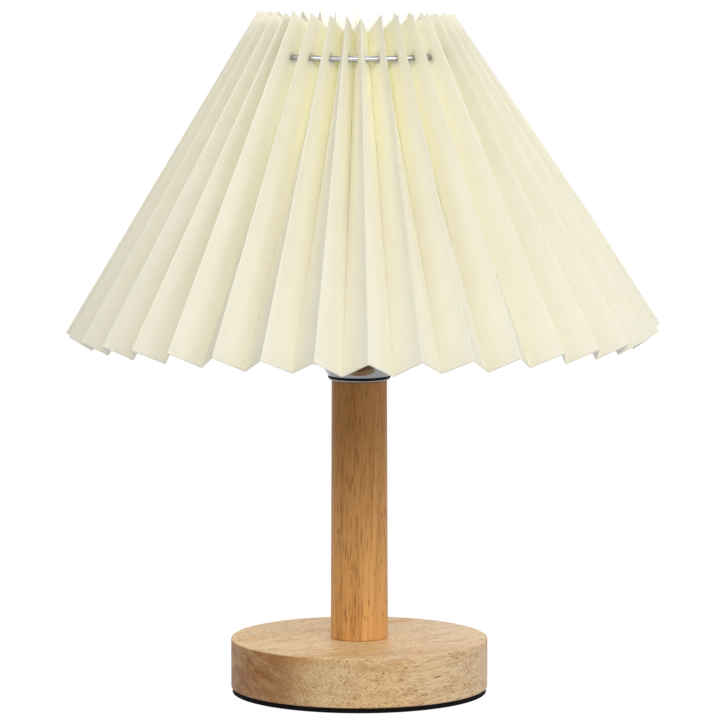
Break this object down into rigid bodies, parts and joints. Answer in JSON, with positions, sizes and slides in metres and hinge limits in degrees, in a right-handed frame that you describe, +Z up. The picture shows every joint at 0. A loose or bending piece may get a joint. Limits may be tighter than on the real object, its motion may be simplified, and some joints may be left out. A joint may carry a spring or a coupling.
{
  "type": "table lamp",
  "caption": "Table lamp with a pleated conical fabric shade on a wire frame, a turned wooden column and a round wooden base.",
  "frame": {"origin": "middle of the underside of the base pad, on the lamp's axis", "axes": "+Z up along the column, -Y to the front, +Y to the back where the cord way opens"},
  "size_m": [0.3, 0.3, 0.3462],
  "materials": {
    "base_wood": "clear satin lacquer over pale rubberwood",
    "column_wood": "clear satin lacquer over rubberwood",
    "pad_foam": "matte black foam sheet",
    "black_rubber": "matte black",
    "black_plastic": "matte black",
    "holder_plastic": "moulded black, satin gloss",
    "zinc_steel": "zinc plated",
    "chrome": "mirror chrome plate",
    "wire_steel": "bright plated wire",
    "ceramic": "white steatite, matte",
    "brass": "bright stamped brass",
    "bulb_metal": "nickel plated",
    "black_glass": "black vitrite glass",
    "bulb_plastic": "white moulded plastic",
    "bulb_diffuser": "frosted white diffuser",
    "aluminium": "bare aluminium board",
    "shade_fabric": "ivory woven fabric over a stiff film, pressed into pleats"
  },
  "bodies": {
    "stand": {"base_disc": "base_wood", "base_pad": "pad_foam", "cord_grommet": "black_plastic", "column": "column_wood", "threaded_rod": "zinc_steel", "base_washer": "zinc_steel", "lock_washer": "zinc_steel", "base_nut": "zinc_steel", "seat_disc": "chrome", "seat_gasket": "black_rubber", "flared_cup": "chrome", "holder_cap": "holder_plastic", "holder_insert": "ceramic", "terminal_blocks": "brass", "terminal_screws": "zinc_steel", "screw_shell": "brass", "centre_contact": "brass", "holder_shell": "holder_plastic"},
    "shade": {"pleated_shade": "shade_fabric", "fitter_ring": "wire_steel", "top_ring": "wire_steel", "lower_ring": "wire_steel", "frame_arms": "wire_steel", "frame_ribs": "wire_steel"},
    "ring_nut": {"shade_ring_nut": "holder_plastic"},
    "bulb_foot": {"bulb_tip": "bulb_metal", "bulb_glass": "black_glass"},
    "bulb": {"bulb_cap": "bulb_metal", "bulb_housing": "bulb_plastic", "bulb_globe": "bulb_diffuser", "led_board": "aluminium"}
  },
  "joints": [
    {"name": "shade_turn", "type": "hinge", "parent": "stand", "child": "shade", "pos_m": [0, 0, 0.2017], "axis": [0, 0, 1], "continuous": true},
    {"name": "ring_nut_lift", "type": "slide", "parent": "stand", "child": "ring_nut", "axis": [0, 0, 1], "range_m": [0, 0.008]},
    {"name": "bulb_lift", "type": "slide", "parent": "stand", "child": "bulb_foot", "axis": [0, 0, 1], "range_m": [0, 0.01452]},
    {"name": "bulb_turn", "type": "hinge", "parent": "bulb_foot", "child": "bulb", "pos_m": [0, 0, 0.2], "axis": [0, 0, 1], "range_deg": [0, 1440]}
  ],
  "couplings": [
    {"joint": "bulb_lift", "follows": "bulb_turn", "m_per_rad": 0.00057757}
  ]
}
